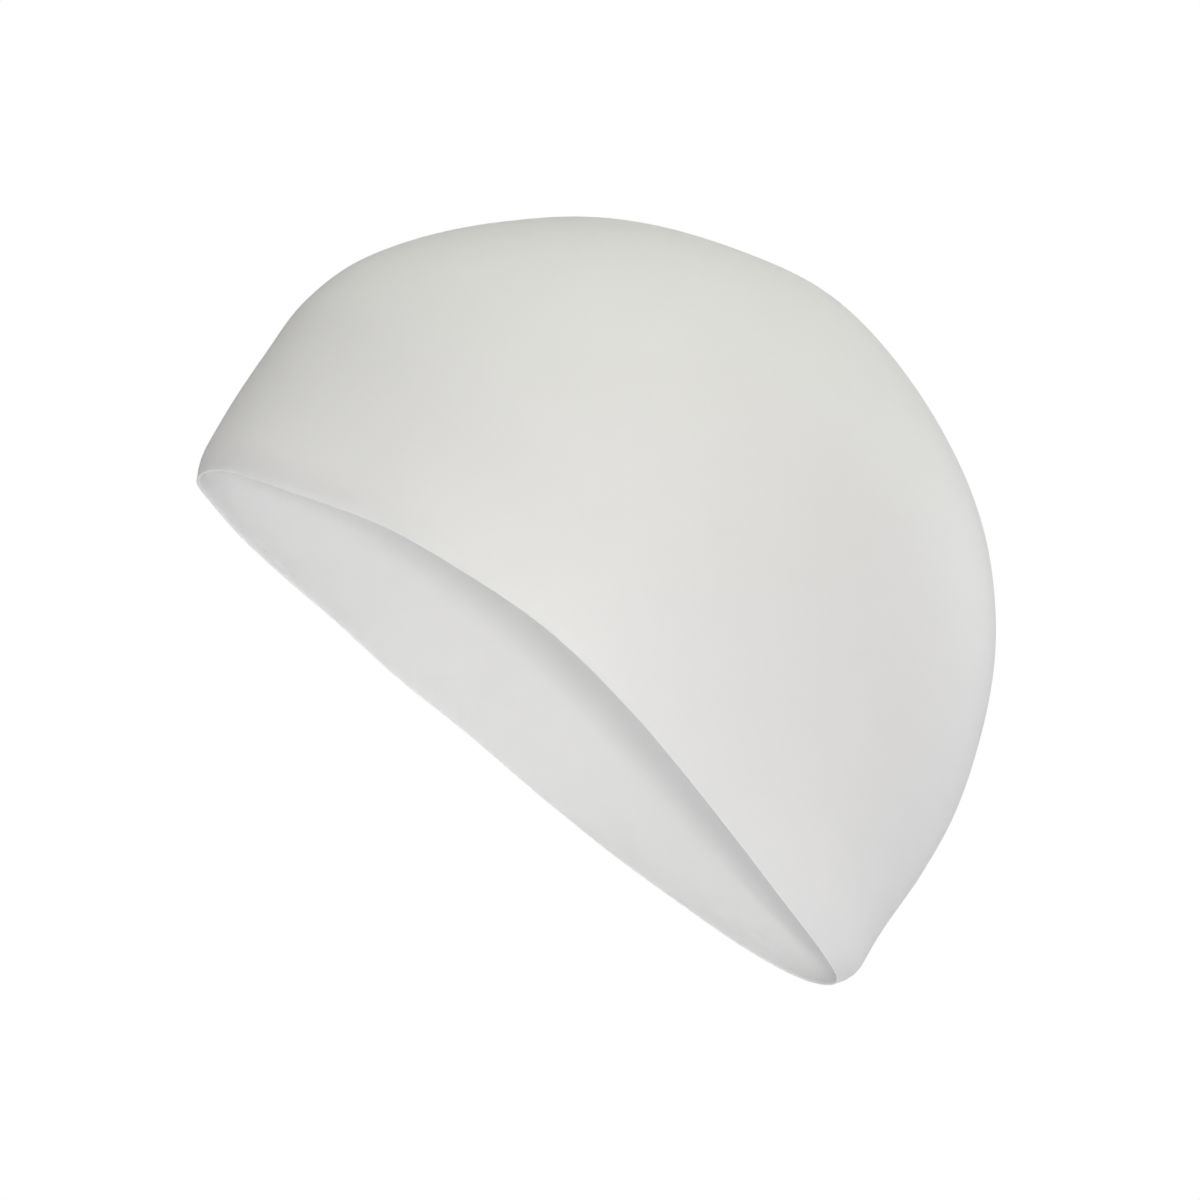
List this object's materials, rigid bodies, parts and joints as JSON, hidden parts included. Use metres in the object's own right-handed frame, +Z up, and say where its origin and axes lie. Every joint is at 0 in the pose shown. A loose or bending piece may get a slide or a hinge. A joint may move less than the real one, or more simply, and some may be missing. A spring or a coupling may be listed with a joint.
{
  "type": "swim cap",
  "caption": "Thin moulded silicone swim cap, a smooth head-shaped dome in one piece, with a plain open rim that rises over the ears.",
  "frame": {"origin": "the inside of the crown's top, where the cap sits on the head", "axes": "+Z up, the front of the cap at -Y and its back at +Y, the wearer's right at -X"},
  "size_m": [0.157, 0.1987, 0.1283],
  "materials": {
    "silicone": "satin moulded silicone, off-white"
  },
  "bodies": {
    "root": {"cap_shell": "silicone"}
  },
  "joints": []
}
